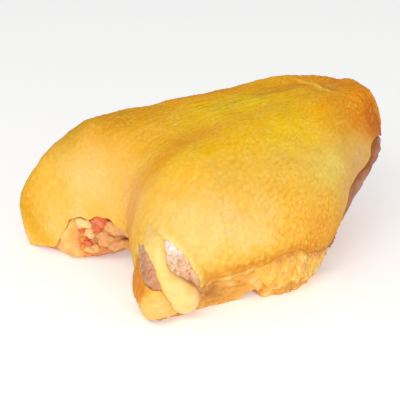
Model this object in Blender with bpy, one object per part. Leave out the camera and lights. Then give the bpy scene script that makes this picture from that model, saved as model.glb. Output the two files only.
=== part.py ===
"""A raw chicken breast on the bone, whole, with its yellow skin on and its wings cut off.

It lies keel up on the cut edges of its ribs. X runs from the neck end (-) to the tail end (+), Y across
it, with the near side at -Y, and Z up; the origin is on the table under its middle. The whole breast is
one loft: hoops that start on the table on the near side, climb over that side's muscle to the keel and
go down the far side. u counts along the bird from the neck (0) to the tail (1), and v goes round a hoop
from -1 through the keel (0) to +1. Skin, flesh and the pads of fat all lie at some depth under that
loft, so that each follows the one below it.
"""

import bpy
import bmesh
import numpy as np
from mathutils import Matrix, Vector

MM = 0.001

# The hoops, in millimetres: u, keel (x, z), crest of the muscle (x, y, z), widest flank (x, y, z) and
# foot on the table (x, y). Both sides are alike, but for the unevenness further down.
HOOPS = (
    # u     keel       crest            flank            foot
    (0.00, -63,  7,   -74, 18,  2,     -83, 41,  1,     -86, 54),   # lower edge of the neck flesh
    (0.12, -65, 38,   -78, 31, 38,     -90, 58, 24,     -82, 59),   # front of the breast
    (0.27, -52, 60,   -61, 40, 64,     -63, 67, 36,     -48, 60),   # brow, behind the wing joints
    (0.43, -16, 70,   -24, 39, 69,     -23, 70, 38,     -17, 67),
    (0.60,  24, 73,    18, 33, 70,       6, 68, 38,       0, 64),
    (0.77,  60, 74,    51, 26, 73,      31, 58, 38,      11, 56),
    (0.90,  85, 69,    76, 21, 66,      52, 46, 37,      18, 51),
    (1.00,  93, 50,    89, 15, 46,      65, 35, 34,      22, 48),   # cut edge at the tail
)
HOOP_KNOTS = (-1.0, -0.72, -0.36, 0.0, 0.36, 0.72, 1.0)  # v at foot, flank, crest, keel and back down

# The body cavity under the ribs, in millimetres: u, roof (x, z), side (x, y, z) and foot (x, y).
CAVITY = (
    (0.00, -50, 11,   -62, 34,  7,     -73, 45),
    (0.15, -44, 27,   -56, 41, 22,     -66, 47),
    (0.40, -14, 38,   -18, 46, 26,     -22, 55),
    (0.70,  38, 41,    22, 39, 27,       2, 49),
    (1.00,  84, 31,    54, 25, 25,      15, 38),
)
CAVITY_KNOTS = (-1.0, -0.55, 0.0, 0.55, 1.0)

SKIN_THICKNESS = 1.6 * MM
SKIN_OFF_TABLE = 0.8 * MM
GAP = 0.4 * MM                      # between skin and flesh, so that the two solids do not touch
FLESH_DEPTH = SKIN_THICKNESS + GAP  # from the outside of the skin to the flesh under it

KEEL_RIDGE_KEYS = (0.0, 0.25, 0.45, 0.75, 0.92, 1.0)
KEEL_RIDGE_HEIGHTS = (0.0, 0.2, 1.2, 1.8, 1.0, 0.4)     # mm
KEEL_RIDGE_HALF_WIDTH = 0.075                           # in v
FAR_SHOULDER_FORWARD = 1.0 * MM                         # the far shoulder lies ahead of the near one
NEAR_SHOULDER_BACK = 2.5 * MM
UNEVENNESS = 0.7 * MM

# The skin's edges: a level in u or |v|, how far the edge moves off it, and between which v or u.
NECK_EDGE = 0.011                   # by the table, in front of the shoulders
NECK_EDGE_BACK = 0.056              # further back between the shoulders
NECK_EDGE_BETWEEN = (0.30, 0.56)
NECK_DIP = 0.018                    # and less so over the keel
NECK_DIP_HALF_WIDTH = 0.08
TAIL_EDGE = 0.975                   # over the keel's tip
TAIL_EDGE_FORWARD = 0.25            # further forward on the flanks
TAIL_EDGE_BETWEEN = (0.44, 0.75)
LOWER_EDGE = 0.95                   # in front of the wing joints
LOWER_EDGE_UP = 0.075               # higher behind them
LOWER_EDGE_BETWEEN = (0.16, 0.27)
RIB_EDGE_UP = 0.035                 # higher again over the rib flap
RIB_EDGE_AT = (0.47, 0.10)          # its middle and half width in u
TAIL_CORNER_DOWN = 0.02             # lower again towards the tail
TAIL_CORNER_BETWEEN = (0.6, 0.9)

# The flesh's own forms, off the skin's inside.
NECK_OVERHANG = 3.0 * MM            # how far the neck flesh lies back under the rim of the skin
OVERHANG_FADES_BETWEEN = (0.5, 0.7) # |v|
OVERHANG_REACH = 0.014              # u from the skin's edge to its full depth
TAIL_SWELL = 1.4 * MM               # how far the flesh swells out past the edge of the skin at the tail
TAIL_SWELL_BETWEEN = (0.02, 0.3)    # shares of the way from the skin's edge to the cut end
TAIL_ROUNDING = 2.0 * MM            # how far it falls away at its cut end
TAIL_ROUNDING_FROM = 0.4
RIB_FAT_RISE = 1.3 * MM             # how far the fat along the ribs stands out from the flesh
RIB_FAT_BETWEEN = (0.005, 0.045)    # v below the skin's edge
RIB_FAT_LUMPS = 0.8 * MM

# The wing cut: a window in the skin over each shoulder, an ellipse lying on the skin.
WING_CUT_AT = (0.171, 0.750)                 # u and v of its middle on the near side
WING_CUT_HALF_SIZES = (10.5 * MM, 20 * MM)   # across and along it
WING_CUT_REACH = 22 * MM
WING_CUT_LEAN = -50                          # degrees its top leans towards the neck
FAR_JOINT_BACK = 0.09                        # u by which the far wing joint lies further back
FAR_JOINT_SQUEEZE = 0.75                     # how much shorter it is, about v of FAR_JOINT_MIDDLE
FAR_JOINT_MIDDLE = 0.85

# The rounded fold of skin below the wing cut: a dome on the skin.
FOLD_AT = (0.128, 0.905)
FOLD_HALF_SIZES = (15 * MM, 10.5 * MM)
FOLD_RISES = {-1: 4.4 * MM, 1: 1.8 * MM}     # near and far

# Pads of fat and flesh on top, each with its middle (u, v), its half lengths along the bird and up its
# side and its thickness, in millimetres, and its turn in degrees.
PADS = {
    "neck_fat": ((0.047, 0.325), (3.4, 3.4), 4.2, 10),      # pale fat at the side of the neck
    "neck_muscle": ((0.046, 0.215), (3.2, 3.8), 3.6, 10),   # red end of the neck muscle
    "neck_flap": ((0.032, 0.088), (3.8, 4.4), 3.0, -5),     # thin flap of flesh in the middle
}
PAD_EDGE = 0.3 * MM
PAD_RINGS = 4
PAD_SEGMENTS = 18

# The tongue of fat that hangs down over the wing cut and ends in a knob: points u, v with the tongue's
# half width and thickness there, in millimetres.
TONGUE = (
    (0.148, 0.535, 4.5, 1.2),
    (0.157, 0.590, 5.0, 2.4),
    (0.166, 0.645, 4.2, 3.0),
    (0.167, 0.710, 3.6, 3.2),
    (0.170, 0.770, 4.0, 3.8),
    (0.180, 0.835, 6.2, 5.6),
    (0.194, 0.895, 7.8, 7.4),
    (0.204, 0.935, 6.0, 5.6),
    (0.210, 0.958, 2.6, 2.6),
)
TONGUE_ROWS = 19
TONGUE_COLUMNS = 9

# The flap of rib fat that splays out behind, from its top edge down to its free edge.
RIB_FLAP_FROM, RIB_FLAP_TO = 0.36, 0.70         # u
RIB_FLAP_BELOW_SKIN = 0.014                     # v from the skin's edge to the flap's top edge
RIB_FLAP_WIDTH = 0.10                           # v from there to its free edge
RIB_FLAP_SPLAY = 6.0 * MM
RIB_FLAP_NARROWING = 0.45                       # share of its width gone at both ends
RIB_FLAP_THICKNESS = 3.0 * MM
RIB_FLAP_EDGE = 0.35                            # share of that thickness left at its edges
RIB_FLAP_LUMPS = 0.6 * MM
RIB_FLAP_ROWS = 19
RIB_FLAP_COLUMNS = 7

PAD_GAP = 1.0 * MM       # between a pad and the flesh under it
CUT_GAP = 0.4 * MM       # between the tongue and the skin cut away to make room for it
CUT_DEPTH = 3.0 * MM     # how far that cut goes down past the tongue's underside

ROWS_UNDER_SKIN = 25     # points along the bird from the skin's neck edge to its tail edge
COLUMNS_UNDER_SKIN = 29  # points round it, between the skin's two lower edges

SKIN_COLOUR = (0.83, 0.46, 0.09, 1.0)
FLESH_COLOUR = (0.60, 0.27, 0.17, 1.0)
FAT_COLOUR = (0.86, 0.58, 0.20, 1.0)
RED_COLOUR = (0.62, 0.14, 0.07, 1.0)


# ---------------------------------------------------------------- curves and lofts

def cubic_through(keys, values, at):
    """A smooth cubic through values at keys (first axis), read at each number of at."""
    keys = np.asarray(keys, float)
    values = np.asarray(values, float)
    trailing = (1,) * (values.ndim - 1)
    steps = np.diff(keys)
    rises = np.diff(values, axis=0) / steps.reshape((-1,) + trailing)
    share = (steps[1:] / (steps[:-1] + steps[1:])).reshape((-1,) + trailing)
    slopes = np.empty_like(values)
    slopes[1:-1] = share * rises[:-1] + (1 - share) * rises[1:]
    slopes[0] = 1.5 * rises[0] - 0.5 * slopes[1]
    slopes[-1] = 1.5 * rises[-1] - 0.5 * slopes[-2]
    at = np.asarray(at, float)
    span = np.clip(np.searchsorted(keys, at, side="right") - 1, 0, len(steps) - 1)
    width = steps[span].reshape((-1,) + trailing)
    t = (at - keys[span]).reshape((-1,) + trailing) / width
    return (
        (2 * t**3 - 3 * t**2 + 1) * values[span]
        + (t**3 - 2 * t**2 + t) * width * slopes[span]
        + (3 * t**2 - 2 * t**3) * values[span + 1]
        + (t**3 - t**2) * width * slopes[span + 1]
    )


def bump(x, centre, half_width):
    """1 at centre, falling smoothly towards 0 about two half widths away."""
    return np.exp(-(((x - centre) / half_width) ** 2))


def ramp(x, start, end):
    """0 before start, 1 after end, smooth in between."""
    t = np.clip((x - start) / (end - start), 0, 1)
    return t * t * (3 - 2 * t)


def hoop_knots(rows):
    """The knots round each hoop, near foot to far foot, from rows of (x, z), (x, y, z)s and (x, y)."""
    count = len(rows)
    nothing = np.zeros((count, 1))
    top = np.hstack([rows[:, :1], nothing, rows[:, 1:2]])
    foot = np.hstack([rows[:, -2:], nothing])
    between = rows[:, 2:-2].reshape(count, -1, 3)
    far = np.concatenate([between, foot[:, None]], axis=1)
    near = far[:, ::-1] * np.array([1, -1, 1])
    return np.concatenate([near, top[:, None], far], axis=1)


def loft(table, knots, u, v):
    """Points in metres of the loft through a table's hoops, for flat arrays u and v."""
    table = np.asarray(table, float)
    hoops = hoop_knots(cubic_through(table[:, 0], table[:, 1:], u))
    shares = cubic_through(knots, np.eye(len(knots)), v)
    return np.einsum("nk,nkd->nd", shares, hoops) * MM


def breast(u, v):
    """The outside of the breast."""
    points = loft(HOOPS, HOOP_KNOTS, u, v)
    ridge = cubic_through(KEEL_RIDGE_KEYS, KEEL_RIDGE_HEIGHTS, u) * MM
    points[:, 2] += ridge * bump(v, 0, KEEL_RIDGE_HALF_WIDTH)
    shift = NEAR_SHOULDER_BACK * ramp(-v, 0.1, 0.6) - FAR_SHOULDER_FORWARD * ramp(v, 0.1, 0.6)
    points[:, 0] += shift * (1 - ramp(u, 0.05, 0.35))
    above_table = ramp(points[:, 2], 0, 30 * MM)
    swell = np.sin(9 * u + 5 * v) * np.cos(7 * v - 4 * u) + 0.6 * np.sin(14 * u - 8 * v + 1)
    points[:, 2] += UNEVENNESS * swell * above_table
    return points


def breast_normal(u, v):
    """Unit normals of breast(), pointing out."""
    step = 0.004
    along = breast(np.minimum(u + step, 1), v) - breast(np.maximum(u - step, 0), v)
    round_it = breast(u, np.minimum(v + step, 1)) - breast(u, np.maximum(v - step, -1))
    normal = np.cross(along, round_it)
    return normal / np.linalg.norm(normal, axis=1, keepdims=True)


def layer(u, v, depth):
    """Points at depth under the outside of the breast, never below the table."""
    u, v = np.asarray(u, float), np.asarray(v, float)
    points = breast(u, v) - breast_normal(u, v) * np.reshape(depth, (-1, 1))
    points[:, 2] = np.maximum(points[:, 2], 0)
    return points


def slopes_at(u, v):
    """How breast() moves with u and with v, in metres to a unit."""
    step = 0.004
    along = (breast(u + step, v) - breast(u - step, v)) / (2 * step)
    round_it = (breast(u, v + step) - breast(u, v - step)) / (2 * step)
    return along, round_it


def u_v_under(points, u, v):
    """u and v where breast() comes closest to points, searched from u, v."""
    for _ in range(8):
        miss = points - breast(u, v)
        along, round_it = slopes_at(u, v)
        aa, bb = (along**2).sum(1), (round_it**2).sum(1)
        ab = (along * round_it).sum(1)
        a_miss, b_miss = (along * miss).sum(1), (round_it * miss).sum(1)
        scale = aa * bb - ab**2
        u = np.clip(u + (bb * a_miss - ab * b_miss) / scale, 0, 1)
        v = np.clip(v + (aa * b_miss - ab * a_miss) / scale, -1, 1)
    return u, v


def patch_at(middle, side, turn):
    """A place on one side: its point, and directions along the bird, up and outward, turned by degrees."""
    u, v = np.array([middle[0]]), np.array([middle[1] * side])
    outward = Vector(breast_normal(u, v)[0])
    up = (Vector((0, 0, 1)) - outward * outward.z).normalized()
    along = up.cross(outward) * -side
    lean = Matrix.Rotation(np.radians(turn * side), 3, outward)
    return Vector(breast(u, v)[0]), lean @ along, lean @ up, outward


def wing_joint_at(middle, side):
    """u and v, both above 0, of a place at one wing joint; the far one is shorter and further back."""
    u, v = middle
    if side > 0:
        return u + FAR_JOINT_BACK, FAR_JOINT_MIDDLE + (v - FAR_JOINT_MIDDLE) * FAR_JOINT_SQUEEZE
    return u, v


# ---------------------------------------------------------------- where the skin ends

def neck_edge(v):
    """u of the skin's edge at the neck: lifted off the neck flesh between the shoulders."""
    between_shoulders = 1 - ramp(np.abs(v), *NECK_EDGE_BETWEEN)
    return NECK_EDGE + NECK_EDGE_BACK * between_shoulders - NECK_DIP * bump(v, 0, NECK_DIP_HALF_WIDTH)


def tail_edge(v):
    """u of the skin's edge at the tail: at the keel's tip, and slanting forward over the flanks."""
    return TAIL_EDGE - TAIL_EDGE_FORWARD * ramp(np.abs(v), *TAIL_EDGE_BETWEEN)


def lower_edge(u):
    """v of the skin's edge along the ribs: near the table at the neck, higher from the wing joint on."""
    level = LOWER_EDGE - LOWER_EDGE_UP * ramp(u, *LOWER_EDGE_BETWEEN)
    return level - RIB_EDGE_UP * bump(u, *RIB_EDGE_AT) + TAIL_CORNER_DOWN * ramp(u, *TAIL_CORNER_BETWEEN)


def from_skin_grid(s, t):
    """u and v at s and t.

    s goes from the skin's neck edge (0) to its tail edge (1), and t from its near lower edge (-1) to its
    far one (1). Beyond those the flesh goes on, to s -1 and 2 and to t -2 and 2.
    """
    within = np.clip(t, -1, 1)
    neck = neck_edge(within * lower_edge(0.0))
    tail = tail_edge(within * lower_edge(1.0))
    u = neck + s * (tail - neck)
    u = np.where(s < 0, neck * (1 + s), u)
    u = np.where(s > 1, tail + (s - 1) * (1 - tail), u)
    edge = lower_edge(u)
    v = within * edge + (t - within) * (1 - edge)
    return u, v


# ---------------------------------------------------------------- making objects

def material(name, colour, roughness):
    made = bpy.data.materials.new(name)
    made.use_nodes = True
    shader = made.node_tree.nodes["Principled BSDF"]
    shader.inputs["Base Color"].default_value = colour
    shader.inputs["Roughness"].default_value = roughness
    shader.inputs["Metallic"].default_value = 0.0
    made.diffuse_color = colour
    return made


def add_object(name, fill, finish, collection):
    """One named object in collection, whose mesh fill(bmesh) makes."""
    made = bmesh.new()
    fill(made)
    bmesh.ops.recalc_face_normals(made, faces=made.faces)
    mesh = bpy.data.meshes.new(name)
    made.to_mesh(mesh)
    made.free()
    mesh.materials.append(finish)
    mesh.shade_smooth()
    thing = bpy.data.objects.new(name, mesh)
    collection.objects.link(thing)
    return thing


def grid_of(s_values, t_values):
    """Flat arrays s, t over all pairs, and the grid's number of rows and columns."""
    s, t = np.meshgrid(s_values, t_values, indexing="ij")
    return s.ravel(), t.ravel(), s.shape


def add_grid(made, points, shape):
    """Quads over a grid of points; returns its vertices as rows."""
    rows, columns = shape
    verts = [made.verts.new(p) for p in points]
    grid = [verts[r * columns:(r + 1) * columns] for r in range(rows)]
    for r in range(rows - 1):
        for c in range(columns - 1):
            made.faces.new((grid[r][c], grid[r + 1][c], grid[r + 1][c + 1], grid[r][c + 1]))
    return grid


def border_of(grid):
    """The vertices round the outside of a grid, in order."""
    right = [row[-1] for row in grid[1:]]
    bottom = grid[-1][-2::-1]
    left = [row[0] for row in grid[-2:0:-1]]
    return grid[0] + right + bottom + left


def add_slab(made, outside, inside, shape):
    """A closed body between two grids of the same shape."""
    outer_border = border_of(add_grid(made, outside, shape))
    inner_border = border_of(add_grid(made, inside, shape))
    for i, vert in enumerate(outer_border):
        j = (i + 1) % len(outer_border)
        made.faces.new((vert, outer_border[j], inner_border[j], inner_border[i]))


# ---------------------------------------------------------------- skin

def skin_rows():
    return np.linspace(0, 1, ROWS_UNDER_SKIN)


def skin_columns():
    return np.linspace(-1, 1, COLUMNS_UNDER_SKIN)


def fold_rise(points, side):
    """How far the fold of skin below one wing cut stands out at points."""
    centre, along, up, outward = patch_at(wing_joint_at(FOLD_AT, side), side, 0)
    away = points - np.array(centre)
    across, upward = away @ np.array(along), away @ np.array(up)
    share = (across / FOLD_HALF_SIZES[0]) ** 2 + (upward / FOLD_HALF_SIZES[1]) ** 2
    share += (away @ np.array(outward) / (2 * FOLD_HALF_SIZES[0])) ** 2
    return FOLD_RISES[side] * np.clip(1 - share, 0, 1) ** 0.8


def fill_skin(made):
    s, t, shape = grid_of(skin_rows(), skin_columns())
    u, v = from_skin_grid(s, t)
    smooth = breast(u, v)
    outside = layer(u, v, -fold_rise(smooth, -1) - fold_rise(smooth, 1))
    inside = layer(u, v, SKIN_THICKNESS)
    for points in (outside, inside):
        points[:, 2] = np.maximum(points[:, 2], SKIN_OFF_TABLE)
    add_slab(made, outside, inside, shape)


# ---------------------------------------------------------------- flesh

def flesh_depth(u, v):
    """Depth of the flesh: further back at the neck and the tail, and lumpy with fat along the ribs."""
    tail = tail_edge(v)
    past_skin = (u - tail) / (1 - tail)
    between_shoulders = 1 - ramp(np.abs(v), *OVERHANG_FADES_BETWEEN)
    along_ribs = ramp(np.abs(v) - lower_edge(u), *RIB_FAT_BETWEEN)
    lumps = np.sin(44 * u + 5 * np.sign(v)) * np.cos(31 * u + 26 * v)
    depth = FLESH_DEPTH + NECK_OVERHANG * between_shoulders * ramp(neck_edge(v) - u, 0, OVERHANG_REACH)
    depth -= TAIL_SWELL * ramp(past_skin, *TAIL_SWELL_BETWEEN)
    depth += TAIL_ROUNDING * ramp(past_skin, TAIL_ROUNDING_FROM, 1) ** 2
    return depth - along_ribs * (RIB_FAT_RISE + RIB_FAT_LUMPS * lumps)


def fill_flesh(made):
    rows = np.concatenate(([-1, -0.75, -0.5, -0.3, -0.18, -0.08], skin_rows(), [1.35, 1.7, 2]))
    ribs = np.array([1.2, 1.45, 1.7, 2])
    columns = np.concatenate((-ribs[::-1], skin_columns(), ribs))
    s, t, shape = grid_of(rows, columns)
    u, v = from_skin_grid(s, t)
    outside = layer(u, v, flesh_depth(u, v))
    inside = loft(CAVITY, CAVITY_KNOTS, u, v)
    for points in (outside, inside):
        points[np.abs(t) == 2, 2] = 0
    add_slab(made, outside, inside, shape)


# ---------------------------------------------------------------- pads of fat and flesh

def fill_pad(made, side, pad):
    """A rounded pad: flat on the flesh below and domed above, of rings round its middle."""
    middle, half_lengths, thickness, turn = PADS[pad]
    centre, along, up = (np.array(x) for x in patch_at(middle, side, turn)[:3])
    angles = np.linspace(0, 2 * np.pi, PAD_SEGMENTS, endpoint=False)
    wobble = 1 + 0.07 * np.sin(3 * angles + side) + 0.05 * np.sin(5 * angles)
    start = np.ones(PAD_SEGMENTS)

    def ring(share, rise):
        across = share * half_lengths[0] * MM * wobble * np.cos(angles)
        upward = share * half_lengths[1] * MM * wobble * np.sin(angles)
        points = centre + np.outer(across, along) + np.outer(upward, up)
        u, v = u_v_under(points, middle[0] * start, middle[1] * side * start)
        return [made.verts.new(x) for x in layer(u, v, flesh_depth(u, v) - PAD_GAP - rise)]

    shares = np.linspace(0, 1, PAD_RINGS + 1)[1:]
    domes = (1 - shares ** 2.4) ** 0.5 * thickness * MM
    domes[-1] = PAD_EDGE
    above = [ring(share, rise) for share, rise in zip(shares, domes)]
    below = [ring(share, 0) for share in shares]
    rings = above + below[::-1]
    for one, other in zip(rings[:-1], rings[1:]):
        for i in range(PAD_SEGMENTS):
            j = (i + 1) % PAD_SEGMENTS
            made.faces.new((one[i], one[j], other[j], other[i]))
    made.faces.new(rings[0])
    made.faces.new(rings[-1][::-1])


def fill_tongue(made, side, grown=0.0, deeper=0.0):
    """The tongue and its knob: a sweep along its line, flat below and domed above."""
    line = np.array(TONGUE)
    share = np.linspace(0, 1, len(line))
    u, v, half_width, thickness = cubic_through(share, line, np.linspace(0, 1, TONGUE_ROWS)).T
    u, v = wing_joint_at((u, v), side)
    v = v * side
    spine = breast(u, v)
    forward = np.gradient(spine, axis=0)
    forward /= np.linalg.norm(forward, axis=1, keepdims=True)
    spine[0] -= grown * forward[0]
    spine[-1] += grown * forward[-1]
    sideways = np.cross(breast_normal(u, v), forward)
    sideways /= np.linalg.norm(sideways, axis=1, keepdims=True)
    across = np.linspace(-1, 1, TONGUE_COLUMNS)
    reach = np.outer(half_width * MM + grown, across)
    points = (spine[:, None] + reach[:, :, None] * sideways[:, None]).reshape(-1, 3)
    us, vs = u_v_under(points, np.repeat(u, TONGUE_COLUMNS), np.repeat(v, TONGUE_COLUMNS))
    dome = np.outer(thickness * MM + grown, np.sqrt(1 - 0.96 * np.abs(across) ** 2.2)).ravel()
    bed = flesh_depth(us, vs) - PAD_GAP
    add_slab(made, layer(us, vs, bed - dome), layer(us, vs, bed + deeper), reach.shape)


def fill_rib_flap(made, side):
    """A lumpy wedge of fat on the cut ribs, standing out further towards its lower edge."""
    along, down, shape = grid_of(np.linspace(0, 1, RIB_FLAP_ROWS), np.linspace(0, 1, RIB_FLAP_COLUMNS))
    ends = ramp(along, 0, 0.12) * (1 - ramp(along, 0.8, 1))
    u = RIB_FLAP_FROM + along * (RIB_FLAP_TO - RIB_FLAP_FROM)
    top = lower_edge(u) + RIB_FLAP_BELOW_SKIN
    v = side * (top + down * RIB_FLAP_WIDTH * (1 - RIB_FLAP_NARROWING * (1 - ends)))
    splay = RIB_FLAP_SPLAY * down**1.6 * ramp(along, 0, 0.1) * (1 - 0.85 * ramp(along, 0.2, 0.9))
    lumps = RIB_FLAP_LUMPS * np.sin(21 * along + 2 * down) * np.cos(9 * along - 4 * down + side)
    from_edge = np.minimum(np.minimum(along, 1 - along) * 10, np.minimum(down, 1 - down) * 4)
    full = ramp(from_edge, 0, 1)
    rise = RIB_FLAP_THICKNESS * (RIB_FLAP_EDGE + (1 - RIB_FLAP_EDGE) * full)
    rise += lumps * full + splay * (0.6 + 0.4 * full)
    bed = flesh_depth(u, v) - PAD_GAP
    add_slab(made, layer(u, v, bed - rise), layer(u, v, bed), shape)


# ---------------------------------------------------------------- cuts

def fill_wing_cut(made, side):
    """An ellipsoid through the skin over one shoulder; side is -1 near and 1 far."""
    centre, along, up, outward = patch_at(wing_joint_at(WING_CUT_AT, side), side, WING_CUT_LEAN)
    frame = Matrix((along, up, outward)).transposed().to_4x4()
    sizes = Matrix.Diagonal((*WING_CUT_HALF_SIZES, WING_CUT_REACH, 1))
    place = Matrix.Translation(centre) @ frame @ sizes
    bmesh.ops.create_uvsphere(made, u_segments=32, v_segments=16, radius=1, matrix=place)


def cut_away(thing, cutters):
    """Takes everything in the cutters' collection away from thing."""
    cut = thing.modifiers.new("cuts", "BOOLEAN")
    cut.operation = "DIFFERENCE"
    cut.solver = "EXACT"
    cut.operand_type = "COLLECTION"
    cut.collection = cutters


# ---------------------------------------------------------------- the whole

def remove_all_objects():
    for thing in list(bpy.data.objects):
        bpy.data.objects.remove(thing, do_unlink=True)


def add_collection(name):
    made = bpy.data.collections.new(name)
    bpy.context.scene.collection.children.link(made)
    return made


def main():
    remove_all_objects()
    parts = add_collection("raw_chicken_breast")
    cutters = add_collection("cutters")
    skin_finish = material("skin", SKIN_COLOUR, 0.35)
    flesh_finish = material("flesh", FLESH_COLOUR, 0.4)
    fat_finish = material("fat", FAT_COLOUR, 0.35)
    red_finish = material("red_flesh", RED_COLOUR, 0.35)
    pad_finishes = {"neck_fat": fat_finish, "neck_muscle": red_finish, "neck_flap": flesh_finish}

    skin = add_object("skin", fill_skin, skin_finish, parts)
    add_object("flesh", fill_flesh, flesh_finish, parts)
    for side, where in ((-1, "_near"), (1, "_far")):
        for pad, finish in pad_finishes.items():
            add_object(pad + where, lambda made: fill_pad(made, side, pad), finish, parts)
        add_object("wing_joint_fat" + where, lambda made: fill_tongue(made, side), fat_finish, parts)
        add_object("rib_flap" + where, lambda made: fill_rib_flap(made, side), fat_finish, parts)

        def fill_tongue_room(made):
            fill_tongue(made, side, CUT_GAP, CUT_DEPTH)

        for name, fill in (("wing_cut", lambda made: fill_wing_cut(made, side)),
                           ("tongue_room", fill_tongue_room)):
            cutter = add_object(name + where, fill, skin_finish, cutters)
            cutter.hide_render = True
            cutter.display_type = "WIRE"
    cut_away(skin, cutters)


main()
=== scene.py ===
"""A raw chicken breast: yellow skin with its follicles, flesh, fat and membrane.

The solid model's breast is one loft, in which u counts along the bird from the neck (0) to the tail (1) and
v goes round it from the near foot (-1) over the keel (0) to the far foot (+1); av is v without its sign.
Each piece here is a fine grid on the same loft, with its relief added along the normals and its tints kept
as named attributes. Lengths are in metres unless a comment says millimetres.
"""

import itertools
import math

import bpy
import numpy as np
from mathutils import Matrix, Vector
from mathutils.kdtree import KDTree


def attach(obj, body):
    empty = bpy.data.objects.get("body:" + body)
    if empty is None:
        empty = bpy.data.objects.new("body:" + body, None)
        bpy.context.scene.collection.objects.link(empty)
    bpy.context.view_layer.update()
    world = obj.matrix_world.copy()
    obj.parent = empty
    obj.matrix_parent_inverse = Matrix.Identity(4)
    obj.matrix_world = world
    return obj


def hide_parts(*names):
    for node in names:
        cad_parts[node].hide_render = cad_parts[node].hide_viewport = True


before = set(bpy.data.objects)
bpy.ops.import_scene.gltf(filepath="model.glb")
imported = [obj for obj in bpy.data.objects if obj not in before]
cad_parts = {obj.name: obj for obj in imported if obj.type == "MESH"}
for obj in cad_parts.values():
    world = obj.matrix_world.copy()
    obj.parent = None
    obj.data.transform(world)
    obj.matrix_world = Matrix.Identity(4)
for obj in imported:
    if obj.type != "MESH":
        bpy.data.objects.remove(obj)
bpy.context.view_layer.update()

MM = 0.001
SIDES = {-1: "near", 1: "far"}

# ---------------------------------------------------------------- the breast's loft, as in the solid model

# Hoops in millimetres: u, keel (x, z), crest (x, y, z), flank (x, y, z) and foot (x, y).
HOOPS = (
    (0.00, -63,  7,   -74, 18,  2,     -83, 41,  1,     -86, 54),
    (0.12, -65, 38,   -78, 31, 38,     -90, 58, 24,     -82, 59),
    (0.27, -52, 60,   -61, 40, 64,     -63, 67, 36,     -48, 60),
    (0.43, -16, 70,   -24, 39, 69,     -23, 70, 38,     -17, 67),
    (0.60,  24, 73,    18, 33, 70,       6, 68, 38,       0, 64),
    (0.77,  60, 74,    51, 26, 73,      31, 58, 38,      11, 56),
    (0.90,  85, 69,    76, 21, 66,      52, 46, 37,      18, 51),
    (1.00,  93, 50,    89, 15, 46,      65, 35, 34,      22, 48),
)
HOOP_KNOTS = (-1.0, -0.72, -0.36, 0.0, 0.36, 0.72, 1.0)  # v of their points

# The body cavity's hoops: u, roof (x, z), side (x, y, z) and foot (x, y).
CAVITY = (
    (0.00, -50, 11,   -62, 34,  7,     -73, 45),
    (0.15, -44, 27,   -56, 41, 22,     -66, 47),
    (0.40, -14, 38,   -18, 46, 26,     -22, 55),
    (0.70,  38, 41,    22, 39, 27,       2, 49),
    (1.00,  84, 31,    54, 25, 25,      15, 38),
)
CAVITY_KNOTS = (-1.0, -0.55, 0.0, 0.55, 1.0)

UV_STEP = 0.004  # over which slopes are measured
KEEL_RIDGE = ((0.0, 0.0), (0.25, 0.2), (0.45, 1.2), (0.75, 1.8), (0.92, 1.0), (1.0, 0.4))  # u, mm


def cubic_through(keys, values, at):
    """A smooth cubic through values at keys (first axis), read at each number of at."""
    keys = np.asarray(keys, float)
    values = np.asarray(values, float)
    trailing = (1,) * (values.ndim - 1)
    steps = np.diff(keys)
    rises = np.diff(values, axis=0) / steps.reshape((-1,) + trailing)
    share = (steps[1:] / (steps[:-1] + steps[1:])).reshape((-1,) + trailing)
    slopes = np.empty_like(values)
    slopes[1:-1] = share * rises[:-1] + (1 - share) * rises[1:]
    slopes[0] = 1.5 * rises[0] - 0.5 * slopes[1]
    slopes[-1] = 1.5 * rises[-1] - 0.5 * slopes[-2]
    at = np.asarray(at, float)
    span = np.clip(np.searchsorted(keys, at, side="right") - 1, 0, len(steps) - 1)
    width = steps[span].reshape((-1,) + trailing)
    t = (at - keys[span]).reshape((-1,) + trailing) / width
    return (
        (2 * t**3 - 3 * t**2 + 1) * values[span]
        + (t**3 - 2 * t**2 + t) * width * slopes[span]
        + (3 * t**2 - 2 * t**3) * values[span + 1]
        + (t**3 - t**2) * width * slopes[span + 1]
    )


def unit(vectors):
    return vectors / np.maximum(np.linalg.norm(vectors, axis=1, keepdims=True), 1e-12)


def bump(x, centre, half_width):
    """1 at the centre, falling off softly on both sides."""
    return np.exp(-(((x - centre) / half_width) ** 2))


def ramp(x, start, end):
    """0 up to start, 1 from end on, and smooth between them."""
    t = np.clip((x - start) / (end - start), 0, 1)
    return t * t * (3 - 2 * t)


def spot(u, v, at, sizes, lean=0.0):
    """A soft spot about at (u, v), sizes its half widths there, leaning by radians."""
    du, dv = (u - at[0]) / sizes[0], (v - at[1]) / sizes[1]
    turned_u = du * math.cos(lean) + dv * math.sin(lean)
    turned_v = dv * math.cos(lean) - du * math.sin(lean)
    return np.exp(-turned_u**2 - turned_v**2)


def spots(u, v, *marks):
    """The sum of soft spots, each its strength, place, half widths and perhaps its lean."""
    return sum(strength * spot(u, v, *where) for strength, *where in marks)


def loft(table, knots, u, v):
    """Points at u, v of a surface through the hoops of a table."""
    table = np.asarray(table, float)
    rows = cubic_through(table[:, 0], table[:, 1:], u)
    count = len(rows)
    nothing = np.zeros((count, 1))
    top = np.hstack([rows[:, :1], nothing, rows[:, 1:2]])
    foot = np.hstack([rows[:, -2:], nothing])
    far = np.concatenate([rows[:, 2:-2].reshape(count, -1, 3), foot[:, None]], axis=1)
    hoops = np.concatenate([far[:, ::-1] * np.array([1, -1, 1]), top[:, None], far], axis=1)
    shares = cubic_through(knots, np.eye(len(knots)), v)
    return np.einsum("nk,nkd->nd", shares, hoops) * MM


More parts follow.
